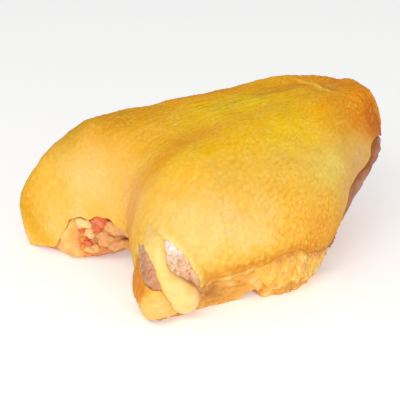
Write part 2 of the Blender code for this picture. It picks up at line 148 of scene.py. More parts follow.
def breast(u, v):
    """The outside of the breast, as the solid model has it."""
    points = loft(HOOPS, HOOP_KNOTS, u, v)
    keys, heights = zip(*KEEL_RIDGE)
    points[:, 2] += cubic_through(keys, heights, u) * MM * bump(v, 0, 0.075)
    shift = 2.5 * MM * ramp(-v, 0.1, 0.6) - 1.0 * MM * ramp(v, 0.1, 0.6)
    points[:, 0] += shift * (1 - ramp(u, 0.05, 0.35))
    swell = np.sin(9 * u + 5 * v) * np.cos(7 * v - 4 * u) + 0.6 * np.sin(14 * u - 8 * v + 1)
    points[:, 2] += 0.7 * MM * swell * ramp(points[:, 2], 0, 30 * MM)
    return points


def breast_normal(u, v):
    along = breast(np.minimum(u + UV_STEP, 1), v) - breast(np.maximum(u - UV_STEP, 0), v)
    round_it = breast(u, np.minimum(v + UV_STEP, 1)) - breast(u, np.maximum(v - UV_STEP, -1))
    return unit(np.cross(along, round_it))


def u_v_under(points, u, v):
    """u and v where breast() comes closest to points, searched from u, v."""
    for _ in range(8):
        miss = points - breast(u, v)
        along = (breast(u + UV_STEP, v) - breast(u - UV_STEP, v)) / (2 * UV_STEP)
        round_it = (breast(u, v + UV_STEP) - breast(u, v - UV_STEP)) / (2 * UV_STEP)
        aa, bb = (along**2).sum(1), (round_it**2).sum(1)
        ab = (along * round_it).sum(1)
        a_miss, b_miss = (along * miss).sum(1), (round_it * miss).sum(1)
        scale = aa * bb - ab**2
        u = np.clip(u + (bb * a_miss - ab * b_miss) / scale, 0, 1)
        v = np.clip(v + (aa * b_miss - ab * a_miss) / scale, -1, 1)
    return u, v


def patch_at(middle, side, turn=0.0):
    """A place on one side: its point, and directions along the bird, up and outward, turned by degrees."""
    u, v = np.array([middle[0]]), np.array([middle[1] * side])
    outward = Vector(breast_normal(u, v)[0])
    up = (Vector((0, 0, 1)) - outward * outward.z).normalized()
    along = up.cross(outward) * -side
    lean = Matrix.Rotation(math.radians(turn * side), 3, outward)
    return [np.array(x) for x in (breast(u, v)[0], lean @ along, lean @ up, outward)]


def in_patch(points, middle, side, turn=0.0):
    """How far points lie along the bird, up and outward of a place on one side."""
    centre, along, up, outward = patch_at(middle, side, turn)
    away = points - centre
    return away @ along, away @ up, away @ outward


FAR_JOINT_BACK = 0.09  # in u
FAR_JOINT_MIDDLE, FAR_JOINT_SHARE = 0.85, 0.75  # the |v| about which it is shorter, and how much


def wing_joint_at(middle, side):
    """The far wing joint is shorter and lies further back."""
    u, v = middle
    if side > 0:
        return u + FAR_JOINT_BACK, FAR_JOINT_MIDDLE + (v - FAR_JOINT_MIDDLE) * FAR_JOINT_SHARE
    return u, v


# ---------------------------------------------------------------- noise and places

def waves(points, length, seed, count=14):
    """Smooth noise of about -1 to 1 with humps about length metres apart."""
    chance = np.random.default_rng(seed)
    directions = unit(chance.normal(size=(count, 3)))
    rates = 2 * math.pi / length * chance.uniform(0.7, 1.4, count)
    phases = chance.uniform(0, 2 * math.pi, count)
    return np.sin(points @ (directions * rates[:, None]).T + phases).sum(1) / math.sqrt(count)


def rough(points, *layers):
    """Relief in metres: layers of noise, each its height and length in millimetres and its seed."""
    return sum(height * MM * waves(points, length * MM, seed) for height, length, seed in layers)


def along_grain(u, v):
    """Points in which noise is drawn out along the bird and differs between its sides."""
    return np.stack([u * 45 * MM, v * 110 * MM, np.sign(v) * 0.05], axis=1)


NEIGHBOURS = list(itertools.product((-1, 0, 1), repeat=3))


def scattered(points, spacing, seed):
    """Some of points, none closer together than the spacing there."""
    chance = np.random.default_rng(seed)
    cell = float(spacing.max())
    taken, kept = {}, []
    for i in chance.permutation(len(points))[:len(points) // 2]:
        x, y, z = points[i]
        column, row, layer = int(x // cell), int(y // cell), int(z // cell)
        reach = spacing[i] ** 2
        cells = (taken.get((column + a, row + b, layer + c), ()) for a, b, c in NEIGHBOURS)
        others = itertools.chain.from_iterable(cells)
        if all((px - x) ** 2 + (py - y) ** 2 + (pz - z) ** 2 >= reach for px, py, pz in others):
            taken.setdefault((column, row, layer), []).append((x, y, z))
            kept.append(i)
    return np.array(kept)


def tree_of(points):
    tree = KDTree(len(points))
    for k, point in enumerate(points):
        tree.insert(point, k)
    tree.balance()
    return tree


def follicles(points, spacing, seed):
    """The domes round the feather follicles and the grooves between them, both from 0 to 1."""
    kept = scattered(points, spacing, seed)
    high = np.random.default_rng(seed + 1).uniform(0.3, 1, len(kept))
    tree = tree_of(points[kept])
    found = [tree.find_n(p, 2) for p in points]
    nearest = np.array([first[1] for first, second in found])
    away = np.array([first[2] for first, second in found]) / spacing
    further = np.array([second[2] for first, second in found]) / spacing
    return high[nearest] * (1 - ramp(away, 0.05, 0.85)), 1 - ramp(further - away, 0.0, 0.55)


# ---------------------------------------------------------------- where the skin ends

def neck_edge(v):
    """u where the skin ends at the neck."""
    between_shoulders = 1 - ramp(np.abs(v), 0.33, 0.65)
    ragged = 0.0022 * np.sin(31 * v + 3) + 0.0018 * np.sin(67 * v)
    return 0.011 + (0.056 + ragged) * between_shoulders - 0.018 * bump(v, 0, 0.11)


def tail_edge(v):
    """u where the skin ends at the tail."""
    ragged = 0.004 * np.sin(23 * v + 2) + 0.002 * np.sin(57 * v)
    return 0.975 - 0.11 * ramp(np.abs(v), 0.46, 0.58) - 0.11 * ramp(np.abs(v), 0.61, 0.71) + ragged


def lower_edge(u):
    """|v| where the skin ends above the ribs."""
    ragged = 0.004 * np.sin(38 * u) + 0.003 * np.sin(83 * u + 1)
    edge = 0.95 - 0.075 * ramp(u, 0.16, 0.27) - 0.035 * bump(u, 0.47, 0.10)
    return edge + 0.02 * ramp(u, 0.6, 0.9) + ragged


def from_skin_grid(s, t):
    """u and v at s (0 the skin's neck edge, 1 its tail edge) and t (-1 and 1 its lower edges)."""
    within = np.clip(t, -1, 1)
    neck = neck_edge(within * lower_edge(0.0))
    tail = tail_edge(within * lower_edge(1.0))
    u = neck + s * (tail - neck)
    u = np.where(s < 0, neck * (1 + s), u)
    u = np.where(s > 1, tail + (s - 1) * (1 - tail), u)
    edge = lower_edge(u)
    return u, within * edge + (t - within) * (1 - edge)


WINDOW_AT = (0.165, 0.715)
WINDOW_RIM = (  # u and |v| round the near wing cut
    (0.113, 0.520), (0.102, 0.530), (0.096, 0.560), (0.093, 0.610), (0.092, 0.655), (0.094, 0.705),
    (0.101, 0.765), (0.120, 0.810), (0.145, 0.838), (0.168, 0.868), (0.190, 0.900), (0.212, 0.915),
    (0.232, 0.905), (0.238, 0.875), (0.237, 0.835), (0.233, 0.796), (0.229, 0.760), (0.224, 0.721),
    (0.217, 0.683), (0.206, 0.649), (0.192, 0.620), (0.172, 0.592), (0.148, 0.566), (0.130, 0.541),
)
WINDOW_REACH = 30 * MM  # out of its plane, past which its shape no longer counts
FOLD_AT = (0.138, 0.915)  # the fold of skin below it
FOLD_HALF_SIZES = (15 * MM, 10.5 * MM)
FOLD_HEIGHT = {-1: 5.2 * MM, 1: 2.0 * MM}
KNOB_AT = (0.191, 0.897)  # where the tongue's knob presses on the fold
KNOB_RADIUS = 7.5 * MM


def window_radius(angle, side):
    """How far a wing cut's rim lies from its middle, in the direction of angle."""
    u, v = wing_joint_at(np.array(WINDOW_RIM).T, side)
    across, upward, _ = in_patch(breast(u, v * side), wing_joint_at(WINDOW_AT, side), side)
    angles, radii = np.arctan2(upward, across), np.hypot(across, upward)
    order = np.argsort(angles)
    angles, radii = angles[order], radii[order]
    angles = np.concatenate([angles[-3:] - 2 * math.pi, angles, angles[:3] + 2 * math.pi])
    radii = np.concatenate([radii[-3:], radii, radii[:3]])
    return cubic_through(angles, radii, angle)


def out_of_window(u, v, side):
    """-1 in the middle of the wing cut's window, 0 on its rim, 1 a window's radius away from it."""
    across, upward, out = in_patch(breast(u, v), wing_joint_at(WINDOW_AT, side), side)
    angle = np.arctan2(upward, across)
    ragged = 1 + 0.025 * np.sin(5 * angle + 1) + 0.015 * np.sin(13 * angle)
    share = np.hypot(across, upward) / (window_radius(angle, side) * ragged + 0.6 * MM)
    return np.sqrt(share**2 + (out / WINDOW_REACH) ** 8) - 1


# ---------------------------------------------------------------- meshes

def grid_of(s_values, t_values):
    """s and t of each point of a grid, and its shape."""
    s, t = np.meshgrid(s_values, t_values, indexing="ij")
    return s.ravel(), t.ravel(), s.shape


def grid_faces(shape):
    rows, columns = shape
    i = np.arange(rows * columns).reshape(rows, columns)
    return np.stack([i[:-1, :-1], i[1:, :-1], i[1:, 1:], i[:-1, 1:]], axis=-1).reshape(-1, 4)


def normals_of(points, faces):
    """Unit vertex normals."""
    p = points[faces]
    across = np.cross(p[:, 2] - p[:, 0], p[:, 3] - p[:, 1])
    normal = np.zeros_like(points)
    for k in range(4):
        np.add.at(normal, faces[:, k], across)
    return unit(normal)


def border_of(faces):
    """The directed border edges of quads, as two arrays."""
    start = faces.ravel()
    end = np.roll(faces, -1, axis=1).ravel()
    size = int(faces.max()) + 1
    alone = ~np.isin(start * size + end, end * size + start)
    return start[alone], end[alone]


def shell_faces(faces, count):
    """Faces of a closed shell: over its outside's count points, over its inside's, and the wall between."""
    start, end = border_of(faces)
    wall = np.stack([end, start, start + count, end + count], axis=1)
    return np.concatenate([faces, faces[:, ::-1] + count, wall])


def distance_to(points, chosen):
    tree = tree_of(points[chosen])
    return np.array([tree.find(p)[2] for p in points])


def smooth_along(values, start, end):
    """Values at the points of a border, each averaged with its neighbours'."""
    total, count = values * 2.0, np.full(len(values), 2.0)
    np.add.at(total, start, values[end])
    np.add.at(total, end, values[start])
    np.add.at(count, start, 1)
    np.add.at(count, end, 1)
    return total / count.reshape((-1,) + (1,) * (values.ndim - 1))


ROLL = ((40, 0), (80, 0), (120, 0), (155, 0), (180, 0), (180, 0.4), (180, 1))  # degrees, share of the tuck


def roll_under(points, faces, thickness, tuck):
    """Adds a rounded edge to an open sheet, turned under and tucked back in by tuck metres.

    Returns points, faces and, for each point, the sheet's point that it belongs to.
    """
    normal = normals_of(points, faces)
    start, end = border_of(faces)
    edge = points[end] - points[start]
    outward = np.zeros_like(points)
    away = unit(np.cross(edge, normal[start] + normal[end]))
    np.add.at(outward, start, away)
    np.add.at(outward, end, away)
    ids = np.unique(np.concatenate([start, end]))
    place = np.full(len(points), -1)
    place[ids] = np.arange(len(ids))
    out, facing = outward[ids], normal[ids]
    for _ in range(6):
        out = smooth_along(out, place[start], place[end])
        facing = smooth_along(facing, place[start], place[end])
    out, facing = unit(out), unit(facing)
    all_points, all_faces, owner = [points], [faces], [np.arange(len(points))]
    last = np.arange(len(points))
    for angle, back in ROLL:
        turn = math.radians(angle)
        ring = points[ids] + out * (thickness / 2 * math.sin(turn) - tuck * back)
        ring -= facing * thickness / 2 * (1 - math.cos(turn))
        new = place + sum(len(p) for p in all_points)
        all_faces.append(np.stack([last[end], last[start], new[start], new[end]], axis=1))
        all_points.append(ring)
        owner.append(ids)
        last = new
    return np.concatenate(all_points), np.concatenate(all_faces), np.concatenate(owner)


FLOOR_GAP = 0.05 * MM


def add_piece(name, points, faces, masks, finish, nodes):
    """One visible piece with its named masks, standing for nodes of the solid model."""
    points = points.copy()
    points[:, 2] = np.maximum(points[:, 2], FLOOR_GAP)
    mesh = bpy.data.meshes.new(name)
    mesh.from_pydata(points.tolist(), [], faces.tolist())
    mesh.validate()
    for mask, values in masks.items():
        made = mesh.attributes.new(mask, "FLOAT", "POINT")
        made.data.foreach_set("value", np.clip(values, 0, 1).astype(np.float32))
    mesh.materials.append(finish)
    mesh.shade_smooth()
    thing = bpy.data.objects.new(name, mesh)
    bpy.context.scene.collection.objects.link(thing)
    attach(thing, "root")
    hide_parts(*nodes)


def add_fat_shell(name, outside, inside, shape, mirrored, masks, finish):
    """One piece of fat, closed between the grids of its outside and its inside."""
    faces = shell_faces(grid_faces(shape), len(outside))
    if mirrored:
        faces = faces[:, ::-1]
    masks = {mask: np.tile(values, 2) for mask, values in masks.items()}
    add_piece(name, np.concatenate([outside, inside]), faces, masks, finish, [name])


# ---------------------------------------------------------------- materials

def feed(tree, socket, value):
    """Links a value to a socket, or sets the socket to it."""
    if isinstance(value, bpy.types.NodeSocket):
        tree.links.new(value, socket)
    else:
        socket.default_value = value


def new_node(tree, kind, **inputs):
    """A node and its inputs, with _ for the spaces in their names."""
    node = tree.nodes.new(kind)
    for name, value in inputs.items():
        feed(tree, node.inputs[name.replace("_", " ")], value)
    return node


MIX_INPUTS, MIX_OUTPUT = (0, 6, 7), 2  # the mix node's share and its two colours, and the colour it makes


def mix_colour(tree, share, base, other, blend="MIX"):
    node = tree.nodes.new("ShaderNodeMix")
    node.data_type = "RGBA"
    node.blend_type = blend
    for number, value in zip(MIX_INPUTS, (share, base, other)):
        feed(tree, node.inputs[number], value)
    return node.outputs[MIX_OUTPUT]


def math_node(tree, operation, one, other):
    node = tree.nodes.new("ShaderNodeMath")
    node.operation = operation
    feed(tree, node.inputs[0], one)
    feed(tree, node.inputs[1], other)
    return node.outputs[0]


def mask_of(tree, name):
    node = tree.nodes.new("ShaderNodeAttribute")
    node.attribute_name = name
    return node.outputs["Fac"]


def from_srgb(levels):
    """A linear colour from sRGB levels of 0 to 255."""
    linear = [(c / 255 / 12.92) if c < 10.3 else ((c / 255 + 0.055) / 1.055) ** 2.4 for c in levels]
    return (*linear, 1.0)


def new_group(name, colours, numbers, result):
    """Starts a node group; returns it, its inputs, the object's coordinates and its one output's socket."""
    group = bpy.data.node_groups.new(name, "ShaderNodeTree")
    for colour in colours:
        group.interface.new_socket(colour, in_out="INPUT", socket_type="NodeSocketColor")
    for number, value in numbers.items():
        socket = group.interface.new_socket(number, in_out="INPUT", socket_type="NodeSocketFloat")
        socket.default_value = value
    kind = "NodeSocketColor" if colours else "NodeSocketFloat"
    group.interface.new_socket(result, in_out="OUTPUT", socket_type=kind)
    given = group.nodes.new("NodeGroupInput").outputs
    where = group.nodes.new("ShaderNodeTexCoord").outputs["Object"]
    return group, given, where, group.nodes.new("NodeGroupOutput").inputs[result]


def use_group(tree, group, *values):
    """The output of a group whose inputs are linked or set in their order."""
    node = tree.nodes.new("ShaderNodeGroup")
    node.node_tree = group
    for socket, value in zip(node.inputs, values):
        feed(tree, socket, value)
    return node.outputs[0]


def mottle_group():
    """Uneven colour: soft patches and fine specks laid over a base colour."""
    numbers = {"Patch Scale": 90, "Speck Scale": 900, "Patches": 0.3, "Specks": 0.15}
    group, given, where, result = new_group("mottle", ("Colour", "Dark"), numbers, "Colour")
    colour = given["Colour"]
    for scale, share, detail, low, high in (
        ("Patch Scale", "Patches", 4.0, 0.38, 0.68), ("Speck Scale", "Specks", 2.0, 0.40, 0.72),
    ):
        noise = new_node(group, "ShaderNodeTexNoise", Vector=where, Scale=given[scale], Detail=detail,
                         Roughness=0.6)
        mask = new_node(group, "ShaderNodeMapRange", Value=noise.outputs["Fac"], From_Min=low, From_Max=high)
        shown = math_node(group, "MULTIPLY", mask.outputs[0], given[share])
        colour = mix_colour(group, shown, colour, given["Dark"])
    group.links.new(colour, result)
    return group


def wet_surface_group():
    """The fine creases and grain of a damp surface, as a height of about 0 to 1."""
    numbers = {"Crease Scale": 420, "Grain Scale": 1500, "Creases": 0.7, "Grain": 0.3}
    group, given, where, result = new_group("wet_surface", (), numbers, "Height")
    creases = new_node(group, "ShaderNodeTexVoronoi", Vector=where, Scale=given["Crease Scale"])
    creases.feature = "SMOOTH_F1"
    grain = new_node(group, "ShaderNodeTexNoise", Vector=where, Scale=given["Grain Scale"], Detail=3.0)
    one = math_node(group, "MULTIPLY", creases.outputs["Distance"], given["Creases"])
    two = math_node(group, "MULTIPLY", grain.outputs["Fac"], given["Grain"])
    group.links.new(math_node(group, "ADD", one, two), result)
    return group


def broken_group():
    """Small irregular patches, as a mask from 0 to 1."""
    group, given, where, result = new_group("broken", (), {"Scale": 500}, "Mask")
    noise = new_node(group, "ShaderNodeTexNoise", Vector=where, Scale=given["Scale"], Detail=3.0,
                     Distortion=0.7)
    patches = new_node(group, "ShaderNodeMapRange", Value=noise.outputs["Fac"], From_Min=0.42, From_Max=0.60)
    group.links.new(patches.outputs[0], result)
    return group


MOTTLE = mottle_group()
BROKEN = broken_group()
WET_SURFACE = wet_surface_group()
EDGE_SHADE = (0.60, 0.38, 0.10, 1)


def raw_material(name, base, tints, dark, roughness, blood, mottle, creases, softness, coat=0.05, shine=0.3,
                 edge=0.3):
    """A damp raw surface.

    tints are (mask, colour, strength), laid one over another on the base colour, some with the scale at
    which they are broken up. mottle is its patch and speck scales and shares, dark what it takes the colour
    down by, creases the scales and shares of its fine relief, softness how far light travels under it, in
    metres, blood the shares of that for red, green and blue, coat and shine its gloss, and edge how much
    painted shade deepens its colour where it turns away from the camera.
    """
    made = bpy.data.materials.new(name)
    made.use_nodes = True
    tree = made.node_tree
    shader = tree.nodes["Principled BSDF"]
    colour = from_srgb(base)
    for mask, tint, strength, *scale in tints:
        share = math_node(tree, "MULTIPLY", mask_of(tree, mask), strength)
        if scale:
            share = math_node(tree, "MULTIPLY", share, use_group(tree, BROKEN, *scale))
        colour = mix_colour(tree, share, colour, from_srgb(tint))
    darker = mix_colour(tree, 1.0, colour, dark, "MULTIPLY")
    uneven = use_group(tree, MOTTLE, colour, darker, *mottle)
    # Painted shade: the colour deepens where the surface turns away from the camera.
    facing = new_node(tree, "ShaderNodeLayerWeight", Blend=0.28).outputs["Facing"]
    turned = new_node(tree, "ShaderNodeMapRange", Value=facing, From_Min=0.42, From_Max=1.0, To_Max=edge)
    relief = use_group(tree, WET_SURFACE, *creases)
    dent = new_node(tree, "ShaderNodeBump", Strength=0.5, Distance=0.4 * MM, Height=relief)
    for socket, value in {
        "Base Color": mix_colour(tree, turned.outputs[0], uneven, EDGE_SHADE, "MULTIPLY"),
        "Normal": dent.outputs["Normal"],
        "Roughness": roughness,
        "IOR": 1.4,
        "Specular IOR Level": shine,
        "Coat Weight": coat,
        "Coat Roughness": 0.22,
        "Subsurface Weight": 0.35,
        "Subsurface Radius": blood,
        "Subsurface Scale": softness,
    }.items():
        feed(tree, shader.inputs[socket], value)
    return made


def skin_material():
    tints = (
        ("gold", (255, 199, 10), 0.9),
        ("sun", (255, 222, 4), 0.9),
        ("pale", (246, 210, 132), 1.0),
        ("apricot", (255, 192, 116), 0.9),
        ("orange", (255, 176, 34), 0.9),
        ("honey", (226, 166, 30), 0.85),
        ("rear", (242, 172, 66), 0.9),
        ("ochre", (220, 142, 46), 0.9),
        ("lemon", (242, 218, 112), 0.9),
        ("amber", (245, 148, 2), 0.95),
        ("rust", (212, 98, 4), 0.9),
        ("bare", (226, 180, 116), 1.0),
        # front: painted shade on the near front edge.
        ("front", (228, 142, 56), 1.0),
        ("silvery", (236, 186, 84), 0.4),
        ("umber", (206, 138, 10), 0.4),
        # Painted highlight on the follicle domes, and painted shade in the grooves between them.
        ("follicle", (255, 226, 116), 0.46),
        ("groove", (222, 132, 24), 0.42),
        # The crest tint is a painted highlight along the ridge; the trough beside it is painted shade with
        # the creases.
        ("crest", (255, 214, 90), 0.7),
        ("rim", (252, 230, 150), 0.7),
        ("red_crease", (190, 98, 38), 0.8),
    )
    return raw_material("yellow_skin", (250, 194, 70), tints, (0.92, 0.80, 0.5, 1), 0.45,
                        (1.0, 0.5, 0.12), (130, 520, 0.42, 0.46), (420, 1500, 0.7, 0.3), 1.6 * MM,
                        coat=0.0, shine=0.02, edge=0.8)


def flesh_material():
    tints = (
        ("fat", (240, 182, 78), 1.0),
        ("fat_pale", (252, 214, 130), 0.9),
        ("crumbs", (200, 108, 34), 0.85, 230),
        ("membrane", (236, 190, 152), 0.95),
        ("mauve", (188, 122, 88), 0.9),
        ("grains", (172, 102, 62), 0.8, 380),
        ("beads", (252, 220, 176), 0.6, 520),
        ("sheen", (252, 246, 246), 1.0, 260),
        ("brown", (170, 98, 34), 1.0),
        ("seam", (240, 214, 176), 0.8),
        ("red", (228, 88, 40), 1.0, 260),
        ("hollow", (226, 178, 140), 0.9),
        ("hole", (88, 44, 22), 0.9),
    )
    return raw_material("raw_flesh", (214, 140, 112), tints, (0.82, 0.62, 0.5, 1), 0.4,
                        (1.0, 0.35, 0.2), (160, 900, 0.4, 0.25), (500, 1700, 0.6, 0.4), 1.8 * MM)


def fat_material(name, base, tints, roughness=0.36):
    return raw_material(name, base, tints, (0.92, 0.78, 0.52, 1), roughness, (1.0, 0.6, 0.2),
                        (150, 800, 0.35, 0.15), (380, 1400, 0.5, 0.25), 2.2 * MM, coat=0.2)


# ---------------------------------------------------------------- skin

SKIN_ROWS, SKIN_COLUMNS = 270, 326
SKIN_EDGE, SKIN_TUCK = 1.0 * MM, 4 * MM


def fold_rise(points, side):
    """The rounded fold of skin below one wing cut, which gives way under the knob of fat."""
    across, upward, out = in_patch(points, wing_joint_at(FOLD_AT, side), side)
    share = (across / FOLD_HALF_SIZES[0]) ** 2 + (upward / FOLD_HALF_SIZES[1]) ** 2
    share += (out / (2 * FOLD_HALF_SIZES[0])) ** 2
    rise = FOLD_HEIGHT[side] * np.clip(1 - share, 0, 1) ** 0.7 * ramp(across, -14 * MM, -5 * MM)
    across, upward, out = in_patch(points, wing_joint_at(KNOB_AT, side), side)
    return rise * (1 - 0.8 * np.exp(-((across**2 + upward**2 + out**2) / KNOB_RADIUS**2) ** 2))


PULLED_IN = (  # low at the front, then along the skyline and in the tail's corner: mm, u and v, half widths
    (0.8, (0.03, -0.80), (0.06, 0.11)),
    (2.6, (0.010, -0.49), (0.026, 0.09)),
    (0.8, (0.07, 0.76), (0.05, 0.10)),
    (0.7, (0.66, 0.24), (0.06, 0.10)),
    (-0.7, (0.51, 0.24), (0.05, 0.10)),
    (-1.2, (0.845, 0.02), (0.025, 0.06)),
    (-0.6, (0.24, 0.54), (0.05, 0.08)),
    (0.9, (0.925, -0.39), (0.07, 0.10)),
)


def pulled_in(u, v):
    """How far the surface lies inside the loft."""
    return spots(u, v, *PULLED_IN) * MM


def skin_relief(u, v, points):
    """How far the skin's outside stands out from the loft, and its domes, grooves and crest."""
    av = np.abs(v)
    patchy = ramp(waves(points, 16 * MM, 8), -1.2, 0.9)
    fine_share = np.clip(ramp(u, 0.36, 0.56) + 0.7 * (1 - ramp(av, 0.2, 0.45)), 0, 1)
    wobble = 0.4 * MM * np.stack([waves(points, 2.8 * MM, seed) for seed in (18, 19, 20)], axis=1)
    domes, grooves = follicles(points * np.array([1, 1, 0.78]) + wobble, (2.7 - 1.0 * fine_share) * MM, 9)
    bald = spots(u, v, (1, (0.16, 0.20), (0.10, 0.28)), (0.8, (0.17, -0.30), (0.10, 0.22)))
    bald += spots(u, av, (1, (0.81, 0.64), (0.09, 0.11)), (1, (0.13, 0.94), (0.12, 0.12)))
    shown = (0.45 + 0.55 * patchy) * (1 - 0.9 * np.clip(bald, 0, 1))
    rise = (0.42 * MM * domes - 0.12 * MM * grooves) * shown * (0.6 + 0.4 * ramp(av, 0.3, 0.6))
    rise += rough(points, (0.25, 26, 3), (0.12, 9, 4), (0.07, 3, 7))
    stretch = waves(along_grain(u, v), 3.6 * MM, 5)
    rise += 0.10 * MM * stretch * bump(v, 0.08, 0.34) * ramp(u, 0.15, 0.3)
    across_keel = u - 0.74 - 0.045 * ramp(-v, 0.18, 0.33)
    crest = bump(across_keel, 0, 0.0075) - 0.6 * bump(across_keel, 0.018, 0.009)
    crest -= 0.3 * bump(across_keel, -0.02, 0.01)
    crest *= ramp(v, -0.26, -0.15) * (1 - ramp(v, 0.10, 0.26))
    rise += 0.75 * MM * crest
    pleats = np.sin(150 * (av - 1.47 * u) + 2 * waves(points, 14 * MM, 17))
    pleats *= ramp(u, 0.72, 0.80) * ramp(av, 0.12, 0.22) * (1 - ramp(av, 0.48, 0.60))
    rise += 0.14 * MM * pleats
    gather = np.sin(210 * u + 14 * v + 2 * waves(points, 14 * MM, 6)) * ramp(u, 0.80, 0.93)
    rise += 0.22 * MM * gather * (1 - ramp(av, 0.25, 0.5))
    return rise, domes * shown, np.maximum(grooves * shown, 0.9 * np.clip(-pleats, 0, 1)), crest


# Soft zones of the skin's colour: strength, u and v, half widths and lean.
ZONES = {
    # Pale zones: the skin's paler tone, and painted highlight where the lobes catch the light.
    "pale": (
        (1.0, (0.145, 0.22), (0.08, 0.17)), (0.95, (0.29, -0.66), (0.09, 0.13), 0.2),
        (0.5, (0.20, -0.56), (0.08, 0.12)), (0.9, (0.335, 0.66), (0.12, 0.16), -0.2),
        (0.7, (0.05, 0.5), (0.05, 0.12)), (0.4, (0.05, -0.5), (0.05, 0.12)),
        (0.6, (0.38, -0.72), (0.07, 0.08)), (0.7, (0.068, 0.31), (0.02, 0.05)),
    ),
    # Apricot: a paler tone, which in the valley between the lobes at the front is painted light against that
    # valley's shade.
    "apricot": (
        (1.1, (0.14, -0.12), (0.08, 0.16)), (0.7, (0.12, -0.30), (0.07, 0.1)),
        (0.3, (0.31, 0.08), (0.08, 0.1)),
    ),
    "orange": (
        (1.0, (0.36, -0.16), (0.09, 0.10)), (0.6, (0.30, 0.02), (0.06, 0.08)),
        (1.0, (0.265, -0.20), (0.06, 0.08)),
    ),
    "sun": ((0.6, (0.58, -0.40), (0.09, 0.09), 0.5),),
    "honey": ((1.0, (0.27, 0.42), (0.08, 0.12)), (1.0, (0.33, 0.27), (0.07, 0.09))),
    "amber": (
        (0.5, (0.50, 0.25), (0.25, 0.12)), (0.55, (0.70, -0.31), (0.06, 0.11)),
        (0.5, (0.665, 0.07), (0.06, 0.12)),
    ),
    # Umber patches by the skyline and beside the crest are painted shade.
    "umber": (
        (1.3, (0.66, 0.07), (0.05, 0.12)), (0.8, (0.74, -0.38), (0.07, 0.14)),
        (1.3, (0.33, 0.22), (0.05, 0.07)),
    ),
}
ZONES_ON_BOTH_SIDES = {  # the same at |v|
    "pale": ((1.5, (0.12, 0.93), (0.10, 0.09)),),
    "apricot": ((0.7, (0.12, 0.93), (0.09, 0.08)),),
    "lemon": ((1.1, (0.65, 0.59), (0.09, 0.08), 0.5), (0.2, (0.50, 0.48), (0.12, 0.08), 0.4)),
    "rust": ((1.5, (0.91, 0.45), (0.07, 0.12)),),
    "bare": ((1.1, (0.80, 0.63), (0.08, 0.10)), (0.5, (0.72, 0.70), (0.05, 0.07))),
    # Ochre: painted shade along the skin's lower edge.
    "ochre": ((1.0, (0.46, 0.88), (0.10, 0.05)), (0.5, (0.36, 0.90), (0.08, 0.04))),
}


